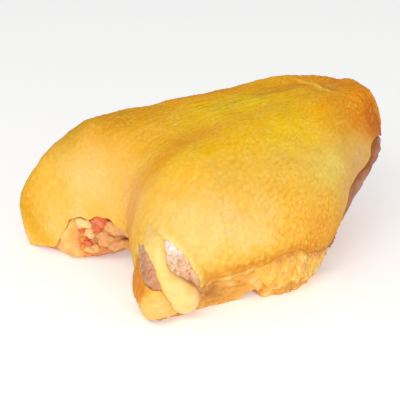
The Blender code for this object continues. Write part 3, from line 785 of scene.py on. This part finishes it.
def skin_tints(u, v, points, domes, grooves, crest, from_edge, window_away):
    """The skin's masks of colour, most of them with a border that wanders."""
    av = np.abs(v)
    loose_u, loose_v = u + 0.012 * waves(points, 22 * MM, 11), v + 0.02 * waves(points, 18 * MM, 12)
    loose_av = np.abs(loose_v)
    grain = waves(along_grain(u, v), 3.2 * MM, 13)
    blotches = waves(points, 6 * MM, 14)
    tints = {name: spots(loose_u, loose_v, *marks) for name, marks in ZONES.items()}
    for name, marks in ZONES_ON_BOTH_SIDES.items():
        tints[name] = tints.get(name, 0) + spots(loose_u, av, *marks)
    tints["pale"] += 0.35 * ramp(blotches, 0.5, 1.8) * (1 - ramp(u, 0.5, 0.7))
    tints["rear"] = ramp(loose_u, 0.42, 0.56) * ramp(loose_av, 0.63, 0.78)
    tints["gold"] = ramp(loose_u, 0.20, 0.34) * (1 - ramp(loose_u, 0.68, 0.84))
    tints["gold"] *= 1 - ramp(loose_av, 0.30, 0.52)
    tints["sun"] += ramp(loose_u, 0.36, 0.46) * (1 - ramp(loose_u, 0.54, 0.68)) * bump(loose_v, 0.05, 0.12)
    tints["honey"] += spot(loose_u, av, (0.10, 0.70), (0.09, 0.13)) * ramp(v, 0, 0.1)
    tints["amber"] += ramp(loose_u, 0.68, 0.84) * (1 - ramp(loose_av, 0.42, 0.60))
    # Painted shade: a shadowed patch low on the near lobe, and a darker band along the skin's lower edge,
    # broken up by blotches and grain.
    shadow = spot(loose_u, loose_v, (0.60, -0.73), (0.06, 0.07))
    tints["ochre"] += 0.5 * shadow * np.clip(0.7 + 0.5 * blotches, 0, 1.3)
    low = ramp(av, 0.78, 0.86) * ramp(u, 0.22, 0.27) * (1 - 0.4 * ramp(u, 0.52, 0.60))
    low *= 1 - ramp(from_edge, 2 * MM, 11 * MM)
    tints["ochre"] += low * (0.75 + 0.35 * blotches + 0.15 * grain)
    # Painted shade: the near front edge by the wing cut lies in shade, so it is tinted darker orange.
    tints["front"] = (1 - ramp(loose_u, 0.075, 0.115)) * (1 - ramp(v, -0.1, 0.1))
    tints["front"] *= ramp(av, 0.50, 0.60) * (1 - ramp(av, 0.78, 0.86))
    # Streaks along the keel: the pale ones are a painted sheen, the umber ones between them a darker tone.
    streaked = 1.2 * spot(loose_u, loose_v, (0.44, 0.20), (0.17, 0.18))
    streaked = np.clip(streaked + 0.5 * bump(loose_v, 0.05, 0.2) * ramp(u, 0.3, 0.5), 0, 1)
    tints["silvery"] = streaked * ramp(grain, 0.1, 1.3)
    tints["umber"] += streaked * ramp(-grain, 0.0, 1.2)
    pale, bare, lemon = (np.clip(tints[name], 0, 1) for name in ("pale", "bare", "lemon"))
    lined = 0.45 + 0.35 * ramp(av, 0.5, 0.8) + 0.5 * ramp(u, 0.3, 0.55)
    lined *= (1 - 0.7 * pale) * (1 - bare) * (1 - 0.5 * lemon)
    lined *= np.clip(0.6 + 0.3 * grain + 0.5 * waves(points, 4 * MM, 16), 0, 1.4)
    rim = 1 - ramp(from_edge, 0.6 * MM, 2.8 * MM)
    rim *= (1 - ramp(window_away, 0.1, 0.25)) * ramp(u, 0.14, 0.20) * (1 - ramp(av, 0.84, 0.90))
    # Painted shade in creases: right of the knob under the skin's lower edge, at the front of the near
    # shoulder, and in the trough beside the crest.
    crease = spot(u, av, (0.25, 0.91), (0.035, 0.035)) * ramp(window_away, 0.02, 0.12)
    crease += 0.7 * spot(u, v, (0.082, -0.55), (0.02, 0.03)) + 0.8 * np.clip(-crest, 0, 0.5)
    # Paler follicle domes are a painted highlight; the grooves between them and the troughs of the pleats are
    # painted shade.
    return tints | {
        "follicle": domes, "groove": grooves * lined, "crest": crest,
        "rim": rim * (0.75 + 0.35 * waves(points, 4 * MM, 15)), "red_crease": crease,
    }


WINDOW_STEP = 1e-4


def make_skin():
    """The skin as one sheet with its windows, whose rims are eased onto their curves."""
    s, t, shape = grid_of(np.linspace(0, 1, SKIN_ROWS), np.linspace(-1, 1, SKIN_COLUMNS))
    u, v = from_skin_grid(s, t)
    faces = grid_faces(shape)
    away = np.minimum(out_of_window(u, v, -1), out_of_window(u, v, 1))
    faces = faces[away[faces].mean(1) > 0]
    start, end = border_of(faces)
    rim = np.unique(np.concatenate([start, end]))
    rim = rim[(np.abs(s[rim] - 0.5) < 0.499) & (np.abs(t[rim]) < 0.999)]
    for side in SIDES:
        ids = rim[v[rim] * side > 0]
        on_rim = np.isin(start, ids)
        place = np.searchsorted(ids, np.stack([start[on_rim], end[on_rim]]))
        for _ in range(8):
            u[ids] = smooth_along(u[ids], *place)
            v[ids] = smooth_along(v[ids], *place)
            here = out_of_window(u[ids], v[ids], side)
            by_u = (out_of_window(u[ids] + WINDOW_STEP, v[ids], side) - here) / WINDOW_STEP
            by_v = (out_of_window(u[ids], v[ids] + WINDOW_STEP, side) - here) / WINDOW_STEP
            scale = here / (by_u**2 + by_v**2)
            u[ids] -= scale * by_u
            v[ids] -= scale * by_v
    used = np.unique(faces)
    renumber = np.full(len(u), -1)
    renumber[used] = np.arange(len(used))
    u, v, away, faces = u[used], v[used], away[used], renumber[faces]
    flat = breast(u, v)
    rise, domes, grooves, crest = skin_relief(u, v, flat)
    from_edge = distance_to(flat, np.unique(np.concatenate(border_of(faces))))
    rise *= 0.3 + 0.7 * ramp(from_edge, 0, 3 * MM)
    rise += (fold_rise(flat, -1) + fold_rise(flat, 1)) * np.sqrt(ramp(away, 0.0, 0.3)) - pulled_in(u, v)
    points = flat + breast_normal(u, v) * rise[:, None]
    tints = skin_tints(u, v, flat, domes, grooves, crest, from_edge, away)
    points, faces, owner = roll_under(points, faces, SKIN_EDGE, SKIN_TUCK)
    masks = {name: values[owner] for name, values in tints.items()}
    add_piece("yellow_skin", points, faces, masks, skin_material(), ["skin"])


# ---------------------------------------------------------------- flesh

FLESH_DEPTH = 2.0 * MM
NECK_HOLES = (  # strength, u and v, half widths
    (1, (0.014, -0.075), (0.020, 0.03)),
    (1, (0.019, 0.075), (0.005, 0.022)),
    (1, (0.030, -0.17), (0.010, 0.03)),
    (1, (0.042, 0.295), (0.010, 0.010)),
)


def flesh_depth(u, v):
    """Depth of the flesh under the loft, nearly as in the solid model but fuller by the tail's skin."""
    tail = tail_edge(v)
    along_ribs = ramp(np.abs(v) - lower_edge(u), -0.004, 0.012)
    between_shoulders = 1 - ramp(np.abs(v), 0.5, 0.7)
    depth = FLESH_DEPTH + 3 * MM * between_shoulders * ramp(neck_edge(v) - u, 0, 0.014)
    past_skin = (u - tail) / (1 - tail)
    depth += 2 * MM * ramp(past_skin, 0.4, 1) ** 2 + 0.5 * MM * ramp(past_skin, 0.02, 0.3)
    depth -= 2.8 * MM * bump(np.abs(v), 0.60, 0.13) * ramp(past_skin, 0.0, 0.35)
    depth -= 1.3 * MM * along_ribs
    depth -= 0.8 * MM * along_ribs * np.sin(44 * u + 5 * np.sign(v)) * np.cos(31 * u + 26 * v)
    return depth


def make_flesh():
    """The meat between the loft and the body cavity, with grid lines closer together where it shows."""
    rows = np.concatenate([
        np.linspace(-1, 0, 26)[:-1], np.linspace(0, 0.36, 96)[:-1],
        np.linspace(0.36, 0.86, 60)[:-1], np.linspace(0.86, 1, 18)[:-1], np.linspace(1, 2, 24),
    ])
    half = np.concatenate([np.linspace(0, 0.5, 22)[:-1], np.linspace(0.5, 0.95, 46)[:-1],
                           np.linspace(0.95, 1.0, 6)[:-1], np.linspace(1, 2, 24)])
    columns = np.concatenate([-half[:0:-1], half])
    s, t, shape = grid_of(rows, columns)
    u, v = from_skin_grid(s, t)
    av = np.abs(v)
    flat = breast(u, v)
    ribs = ramp(av - lower_edge(u), -0.02, 0.0)
    neck = ramp(neck_edge(v) - u, -0.006, 0.006) * (1 - ramp(av, 0.5, 0.7))
    tail = ramp(u - tail_edge(v), -0.008, 0.004)
    window = ramp(-np.minimum(out_of_window(u, v, -1), out_of_window(u, v, 1)), -0.10, 0.05)
    depth = flesh_depth(u, v)
    lumps = waves(flat, 7 * MM, 21)
    fine = waves(flat, 2.6 * MM, 22)
    tags = np.abs(waves(flat, 5 * MM, 23))
    crumbs = waves(along_grain(1.6 * u, v - 0.25 * u * np.sign(v)), 2.6 * MM, 28)
    depth -= ribs * (0.3 * MM * lumps + 0.42 * MM * crumbs + 0.32 * MM * fine + 0.4 * MM * (0.5 - tags))
    depth -= neck * (0.7 * MM * lumps + 0.35 * MM * fine)
    wrinkle = np.clip(1 - 1.3 * np.abs(waves(flat, 4.5 * MM, 29)), 0, 1)
    crinkle = np.clip(1 - 1.4 * np.abs(waves(flat, 3.0 * MM, 30)), 0, 1)
    depth -= window * (1.3 * MM + rough(flat, (0.2, 6, 24)) + 0.5 * MM * wrinkle + 0.3 * MM * crinkle)
    soft_side = neck * ramp(av, 0.34, 0.46)
    depth += (0.15 * MM - 0.22 * MM * lumps - 0.16 * MM * fine - depth) * soft_side
    depth += pulled_in(u, v)
    holes = spots(u, v, *NECK_HOLES)
    depth += 2.2 * MM * np.clip(holes, 0, 1) * neck
    layers = np.sin((v * 30 + 60 * u) + 1.5 * waves(flat, 20 * MM, 25))
    fibres = waves(along_grain(u, 1.3 * v), 3.0 * MM, 32)
    wander = 0.02 * waves(flat, 18 * MM, 33)
    seam = bump(av, 0.60 + wander, 0.012) + 0.7 * bump(av, 0.30 - 1.5 * wander, 0.010)
    depth -= tail * (0.3 * MM * layers + 0.16 * MM * fibres + 0.3 * MM * lumps - 0.6 * MM * seam)
    outside = flat - breast_normal(u, v) * depth[:, None]
    inside = loft(CAVITY, CAVITY_KNOTS, u, v)
    ease = (1 - ramp(np.abs(t), 1.2, 1.9)) * ramp(s, -0.9, -0.2) * (1 - ramp(s, 1.3, 1.9))
    inside[:, 2] += rough(inside, (0.5, 17, 26), (0.18, 5, 27)) * ease
    foot = (3.2 * ramp(u, 0.305, 0.335) + 2.4 * ramp(u, 0.318, 0.35)) * MM * (1 - ramp(u, 0.354, 0.368))
    resting = np.abs(t) == 2
    for points in (outside, inside):
        points[:, 2] = np.maximum(points[:, 2], foot)
        points[resting, 2] = foot[resting]
    around = waves(flat, 12 * MM, 31)
    sheen = spot(u, v, (0.206, -0.668), (0.026, 0.055), 0.5) + spot(u, v, (0.293, 0.735), (0.028, 0.06), -0.5)
    left = spot(u, v, (0.112, -0.67), (0.04, 0.16)) + spot(u, v, (0.20, 0.73), (0.04, 0.12))
    # A painted shadow beside each knob of fat, under the skin's lower edge.
    knob_side_shadow = spot(u, av, (0.25, 0.93), (0.025, 0.04)) + 0.3 * spot(u, av, (0.29, 0.97), (0.03, 0.03))
    past_skin = u - tail_edge(v)
    by_skin = 1 - ramp(past_skin, 0.09, 0.22)
    brown = tail * (0.25 + 0.7 * by_skin + 0.15 * layers) + 0.2 * neck * ramp(around, 0, 1)
    red = 0.3 * neck * ramp(around, 0.4, 1.0) * (av < 0.4)
    red += 1.2 * neck * spot(u, v, (0.012, 0.37), (0.022, 0.05))
    masks = {
        "fat": ribs + 0.55 * neck * (av > 0.34) + 0.3 * neck,
        # On the rib strip fat_pale's lighter raised lumps are a painted highlight, at the neck it is the
        # tissue's own pale tone; crumbs darkens the crevices, painted shade.
        "fat_pale": ribs * ramp(lumps + crumbs, 0.2, 1.6) + soft_side * (0.9 + 0.3 * lumps),
        "crumbs": ribs * ramp(-crumbs - 0.4 * lumps, 0.3, 1.8),
        "membrane": window,
        "mauve": np.clip(left, 0, 1) * window,
        "grains": np.clip(1 - 1.2 * sheen, 0, 1) * window * (1 - crinkle),
        "beads": window * (1 - 0.7 * np.clip(left, 0, 1)) + 0.5 * ribs * ramp(fine, 0.2, 1.2),
        "sheen": np.clip(1.7 * sheen, 0, 1) * window,
        # brown: the cut flesh's own brown by the tail and at the neck, the painted shadow beside the knob,
        # and a darker spot at the near wing cut's lower left.
        "brown": brown + 0.7 * knob_side_shadow + 0.6 * spot(u, v, (0.128, -0.80), (0.03, 0.035)),
        "seam": tail * seam * (1 - by_skin),
        "red": red + 0.35 * tail * (1 - by_skin) * ramp(fibres, 0.2, 1.4),
        # Painted shade: dark brown in the holes of the neck flesh.
        "hole": holes * neck,
    }
    masks = {name: np.concatenate([values, np.zeros(len(u))]) for name, values in masks.items()}
    masks["hollow"] = np.repeat((0.0, 1.0), len(u))
    add_piece("raw_flesh", np.concatenate([outside, inside]), shell_faces(grid_faces(shape), len(u)), masks,
              flesh_material(), ["flesh"])


# ---------------------------------------------------------------- fat at the wing joints

TONGUE = (  # u, v, half width and height in millimetres
    (0.142, 0.490, 7.0, 0.1),
    (0.147, 0.518, 8.0, 0.9),
    (0.152, 0.548, 8.2, 2.3),
    (0.158, 0.580, 7.4, 3.8),
    (0.163, 0.612, 6.0, 4.4),
    (0.165, 0.650, 4.9, 4.5),
    (0.167, 0.692, 4.2, 4.4),
    (0.168, 0.735, 3.8, 4.4),
    (0.170, 0.780, 4.0, 5.0),
    (0.176, 0.825, 5.0, 6.6),
    (0.184, 0.865, 7.1, 8.8),
    (0.191, 0.900, 8.2, 9.8),
    (0.198, 0.936, 7.0, 8.0),
    (0.205, 0.966, 2.8, 3.0),
)


TONGUE_ROWS, TONGUE_COLUMNS = 110, 41


def make_tongue(side, finish):
    """The tongue of fat and its knob, hanging from the skin above the wing cut."""
    rows, columns = TONGUE_ROWS, TONGUE_COLUMNS
    line = np.array(TONGUE)
    share = np.linspace(0, 1, len(line))
    u, v, half_width, thickness = cubic_through(share, line, np.linspace(0, 1, rows)).T
    u, v = wing_joint_at((u, v), side)
    v = v * side
    spine = breast(u, v)
    forward = unit(np.gradient(spine, axis=0))
    sideways = unit(np.cross(breast_normal(u, v), forward))
    across = np.sin(np.linspace(-np.pi / 2, np.pi / 2, columns))
    ragged = 1 + 0.05 * np.sin(np.linspace(0, 21, rows)) + 0.03 * np.sin(np.linspace(0, 47, rows))
    reach = np.outer(half_width * ragged * MM, across)
    points = (spine[:, None] + reach[:, :, None] * sideways[:, None]).reshape(-1, 3)
    us, vs = u_v_under(points, np.repeat(u, columns), np.repeat(v, columns))
    flat = breast(us, vs)
    down, aside = np.repeat(np.linspace(0, 1, rows), columns), np.tile(np.abs(across), rows)
    free = ramp(down, 0.0, 0.3)
    knob = ramp(down, 0.58, 0.82)
    dome = free * np.sqrt(np.clip(1 - aside**2.4, 0, 1)) + (1 - free) * (1 - aside**2) ** 2
    bed = (0.5 + 2.1 * free - 1.0 * knob) * MM
    lift = np.repeat(thickness, columns) * MM * dome - bed
    lift += rough(flat, (0.24, 7, 41), (0.10, 2.5, 42))
    normal = breast_normal(us, vs)
    outside = flat + normal * lift[:, None]
    inside = flat - normal * (bed * 1.05)[:, None]
    blotches = ramp(waves(flat, 6 * MM, 43), 0.2, 1.2)
    deep = (1 - ramp(lift, -0.8 * MM, 0.9 * MM)) * ramp(down, 0.3, 0.4) + 0.12 * blotches
    # deep: darker blotches, and painted shade along the edges where the fat sinks into its bed and on the
    # knob's right side; crease: painted shade round the knob's sides and lower end.
    masks = {
        "deep": deep + 0.6 * knob * ramp(us, 0.200, 0.235),
        "light": (1 - 0.4 * blotches) * ramp(lift, 0.5 * MM, 3 * MM),
        "knob": knob * ramp(waves(flat, 8 * MM, 44), 0.2, 1.2),
        "crease": knob * (ramp(aside, 0.82, 0.97) + ramp(down, 0.93, 0.99)),
    }
    add_fat_shell("wing_joint_fat_" + SIDES[side], outside, inside, (rows, columns), side > 0, masks, finish)


# ---------------------------------------------------------------- lumps at the neck

# Lumps on the neck: u, v as on the far side, half lengths and height in millimetres, turn in degrees, and how
# deep their colour is.
NECK_LUMPS = {
    "neck_fat": (
        (0.053, 0.338, 5.4, 3.9, 2.9, 5, 0.0),
        (0.036, 0.310, 3.8, 2.9, 2.9, -10, 0.1),
        (0.010, 0.370, 4.4, 2.2, 2.4, 0, 0.7),
        (0.011, 0.310, 4.0, 2.2, 1.9, 0, 0.7),
    ),
    "neck_muscle": (
        (0.055, 0.208, 5.0, 3.8, 2.8, -25, 0.2),
        (0.044, 0.243, 2.6, 3.4, 2.4, -20, 0.1),
        (0.042, 0.372, 2.2, 1.6, 1.9, 20, 0.6),
        (0.022, 0.362, 3.4, 1.9, 2.1, -15, 0.7),
        (0.029, 0.333, 2.6, 1.6, 2.0, 25, 0.9),
    ),
    "neck_flap": (
        (0.040, 0.100, 9.4, 4.0, 2.9, -9, 0.0),
        (0.024, 0.215, 5.8, 4.2, 2.2, 0, 0.2),
        (0.012, 0.135, 5.6, 3.4, 1.9, 10, 0.4),
        (0.010, 0.030, 4.2, 3.0, 1.7, 0, 0.6),
        (0.038, -0.045, 3.6, 3.6, 2.0, 0, 0.4),
    ),
}


LUMP_SEGMENTS, LUMP_RINGS = 48, 14
LUMP_SUNK, LUMP_BACK = 0.6, 0.3  # millimetres into the flesh, and below that


def lump(side, middle, half_lengths, height, turn, seed):
    """A soft lump on the neck flesh, domed above and flat below: its points, faces and places from 0 to 1."""
    centre, along, up = patch_at(middle, side, turn)[:3]
    segments, rings = LUMP_SEGMENTS, LUMP_RINGS
    angles = np.linspace(0, 2 * np.pi, segments, endpoint=False)
    wobble = 1 + 0.12 * np.sin(2 * angles + seed) + 0.10 * np.sin(3 * angles + 2 * seed)
    wobble += 0.07 * np.sin(5 * angles + seed) + 0.04 * np.sin(9 * angles + 3 * seed)
    shares = np.sin(np.linspace(0, np.pi / 2, rings + 1))[1:]
    r, a = np.meshgrid(shares, np.arange(segments), indexing="ij")
    r, a = r.ravel(), a.ravel()
    x = r * half_lengths[0] * MM * wobble[a] * np.cos(angles[a])
    y = r * half_lengths[1] * MM * wobble[a] * np.sin(angles[a])
    points = np.concatenate([[centre], centre + np.outer(x, along) + np.outer(y, up)])
    size = len(points)
    u, v = u_v_under(points, np.full(size, middle[0]), np.full(size, middle[1] * side))
    r = np.concatenate([[0.0], r])
    flat = breast(u, v)
    normal = breast_normal(u, v)
    bed = flesh_depth(u, v) + LUMP_SUNK * MM
    rise = (height + LUMP_SUNK) * MM * np.clip(1 - r**2.2, 0, 1) ** 0.6
    rise += rough(flat, (0.38, 4, seed), (0.24, 1.8, seed + 1)) * (1 - r**4)
    outside = flat - normal * (bed - rise)[:, None]
    inside = flat - normal * (bed + LUMP_BACK * MM)[:, None]
    ring_faces = []
    for k in range(rings - 1):
        i = 1 + k * segments + np.arange(segments)
        j = 1 + k * segments + (np.arange(segments) + 1) % segments
        ring_faces.append(np.stack([i, i + segments, j + segments, j], axis=1))
    first, second = 1 + np.arange(0, segments, 2), 1 + np.arange(1, segments, 2)
    third = 1 + np.arange(2, segments + 2, 2) % segments
    cap = np.stack([np.zeros(len(first), int), first, second, third], axis=1)
    faces = shell_faces(np.concatenate([cap] + ring_faces), size)
    if side > 0:
        faces = faces[:, ::-1]
    return np.concatenate([outside, inside]), faces, np.tile(r, 2)


def make_neck_lumps(name, side, finish):
    """The lumps of one kind on one side, as one piece."""
    points, faces, reach, tone, count = [], [], [], [], 0
    for k, (u, v, half_along, half_up, height, turn, deep) in enumerate(NECK_LUMPS[name]):
        p, f, r = lump(side, (u, v), (half_along, half_up), height, turn, 3 * k + len(name))
        points.append(p)
        faces.append(f + count)
        reach.append(r)
        tone.append(np.full(len(p), deep))
        count += len(p)
    points, reach, tone = np.concatenate(points), np.concatenate(reach), np.concatenate(tone)
    masks = {
        # deep: each lump's own tone and darker blotches, with painted shade towards its edge; crease: painted
        # shade round its rim.
        "deep": tone + 0.35 * ramp(reach, 0.5, 1.0) + 0.3 * ramp(waves(points, 4 * MM, 71), 0.2, 1.2),
        "pink": ramp(waves(points, 6 * MM, 72), 0.1, 1.1),
        "crease": ramp(reach, 0.86, 1.0),
    }
    name += "_" + SIDES[side]
    add_piece(name, points, np.concatenate(faces), masks, finish, [name])


# ---------------------------------------------------------------- fat along the ribs

FLAP_ROWS, FLAP_COLUMNS = 150, 64
FLAP_START, FLAP_LENGTH, FLAP_WIDTH = 0.36, 0.34, 0.115  # in u, u and v
FLAP_BACK = 2.6 * MM


def make_rib_flap(side, finish):
    """The streaky wedge of fat on the cut ribs, which comes out from under the skin's lower edge."""
    s, t, shape = grid_of(np.linspace(0, 1, FLAP_ROWS), np.linspace(0, 1, FLAP_COLUMNS))
    ends = ramp(s, 0, 0.12) * (1 - ramp(s, 0.8, 1))
    u = FLAP_START + s * FLAP_LENGTH
    ragged = 0.006 * np.sin(43 * s) + 0.004 * np.sin(97 * s + 2)
    v = side * (lower_edge(u) - 0.006 + t * (FLAP_WIDTH + ragged) * (0.55 + 0.45 * ends))
    splay = 6 * MM * t**1.6 * ramp(s, 0, 0.1) * (1 - 0.85 * ramp(s, 0.2, 0.9))
    from_edge = np.minimum(np.minimum(s, 1 - s) * 14, np.minimum(0.35 + t * 5, (1 - t) * 5))
    full = ramp(from_edge, 0, 1)
    flat = breast(u, v)
    wander = waves(flat, 14 * MM, 51)
    folds = np.sin(2 * math.pi * (1.6 * t + 7 * s) + 1.5 * wander)
    strands = np.sin(2 * math.pi * (4.5 * t + 19 * s) + 2 * wander + 1.5 * waves(flat, 6 * MM, 54))
    strands = 0.6 * strands + 0.6 * waves(flat, 3 * MM, 57)
    detail = 0.24 * MM * folds + 0.13 * MM * strands + rough(flat, (0.25, 5, 52), (0.14, 2.4, 53))
    over_skin = -0.9 * MM + 1.6 * MM * ramp(t, 0.0, 0.22)
    rise = (over_skin + detail * ramp(t, 0, 0.15)) * full - 1.4 * MM * (1 - full) + splay * (0.6 + 0.4 * full)
    normal = breast_normal(u, v)
    outside = flat + normal * rise[:, None]
    inside = flat - normal * FLAP_BACK
    masks = {
        # deep: darker between the strands, and painted shade in the troughs of the folds; crease: painted
        # shade where the flap comes out from under the skin's edge.
        "deep": 0.4 * ramp(-folds, 0.1, 1.0) + 0.4 * ramp(-strands, 0.1, 1),
        "streak": ramp(strands + 0.5 * folds, 0.2, 1.5) * ramp(s, 0.05, 0.3),
        "pink": ramp(waves(flat, 7 * MM, 55), 0.4, 1.3),
        "crease": (1 - ramp(t, 0.05, 0.45)) * (0.6 + 0.4 * waves(flat, 9 * MM, 56)),
    }
    add_fat_shell("rib_flap_" + SIDES[side], outside, inside, shape, side < 0, masks, finish)


# ---------------------------------------------------------------- the whole

make_skin()
make_flesh()
tongue_finish = fat_material("pale_fat", (249, 208, 114), (
    ("light", (252, 226, 152), 0.7), ("deep", (240, 166, 84), 0.8),
    ("knob", (244, 196, 132), 0.5), ("crease", (196, 108, 50), 0.9)), 0.3)
neck_fat_finish = fat_material("neck_fat", (251, 222, 156), (
    ("deep", (240, 170, 84), 0.8), ("pink", (240, 184, 140), 0.5),
    ("crease", (198, 100, 42), 0.6)))
red_finish = fat_material("red_muscle", (232, 122, 82), (
    ("deep", (214, 88, 36), 0.8), ("pink", (240, 160, 124), 0.5),
    ("crease", (168, 60, 28), 0.7)))
flap_finish = fat_material("neck_flap_flesh", (240, 186, 122), (
    ("deep", (206, 132, 60), 0.7), ("pink", (226, 160, 124), 0.6),
    ("crease", (140, 74, 36), 0.8)))
rib_finish = fat_material("rib_fat", (248, 200, 88), (
    ("deep", (230, 148, 50), 0.8), ("streak", (252, 226, 140), 0.8),
    ("pink", (236, 160, 110), 0.5), ("crease", (208, 116, 34), 0.8)))
for side in SIDES:
    make_tongue(side, tongue_finish)
    make_neck_lumps("neck_fat", side, neck_fat_finish)
    make_neck_lumps("neck_muscle", side, red_finish)
    make_neck_lumps("neck_flap", side, flap_finish)
    make_rib_flap(side, rib_finish)

# ---------------------------------------------------------------- floor, light and camera

FLOOR_REACH = 4
floor_mesh = bpy.data.meshes.new("floor")
corners = [(x * FLOOR_REACH, y * FLOOR_REACH, 0) for x, y in ((-1, -1), (1, -1), (1, 1), (-1, 1))]
floor_mesh.from_pydata(corners, [], [(0, 1, 2, 3)])
floor = bpy.data.objects.new("floor", floor_mesh)
bpy.context.scene.collection.objects.link(floor)
floor_finish = bpy.data.materials.new("pale_floor")
floor_finish.use_nodes = True
floor_look = floor_finish.node_tree.nodes["Principled BSDF"].inputs
floor_look["Base Color"].default_value = (0.93, 0.93, 0.93, 1)
floor_look["Roughness"].default_value = 0.8
floor_look["Emission Color"].default_value = (1, 1, 1, 1)
floor_look["Emission Strength"].default_value = 0.3
floor_mesh.materials.append(floor_finish)

world = bpy.data.worlds.new("studio")
world.use_nodes = True
sky = world.node_tree.nodes["Background"].inputs
sky["Color"].default_value = (1, 1, 1, 1)
sky["Strength"].default_value = 0.52
bpy.context.scene.world = world

TARGET = Vector((-19 * MM, 0, 27.3 * MM))
CAMERA_PLACE = (-34.5, 21.0, 0.75)  # azimuth and elevation in degrees, distance in metres


def face_target(thing, azimuth, elevation, distance):
    """Puts a lamp or the camera at a place round TARGET, turned to it."""
    turn, rise = math.radians(azimuth), math.radians(elevation)
    back = Vector((math.sin(turn) * math.cos(rise), -math.cos(turn) * math.cos(rise), math.sin(rise)))
    thing.location = TARGET + back * distance
    thing.rotation_mode = "QUATERNION"
    thing.rotation_quaternion = back.to_track_quat("Z", "Y")
    bpy.context.scene.collection.objects.link(thing)


def add_light(name, azimuth, elevation, distance, size, watts, colour=(1, 1, 1)):
    lamp = bpy.data.lights.new(name, "AREA")
    lamp.shape = "DISK"
    lamp.size = size
    lamp.energy = watts
    lamp.color = colour
    face_target(bpy.data.objects.new(name, lamp), azimuth, elevation, distance)


add_light("key", -50, 34, 1.1, 0.8, 5.6, (1.0, 0.98, 0.95))
add_light("fill", -12, 18, 1.4, 1.0, 2.4)

camera_data = bpy.data.cameras.new("camera")
camera_data.lens = 133.65
camera_data.sensor_width = 36
camera_data.clip_start = 0.01
camera = bpy.data.objects.new("camera", camera_data)
face_target(camera, *CAMERA_PLACE)
bpy.context.scene.camera = camera
bpy.context.scene.view_settings.view_transform = "Standard"
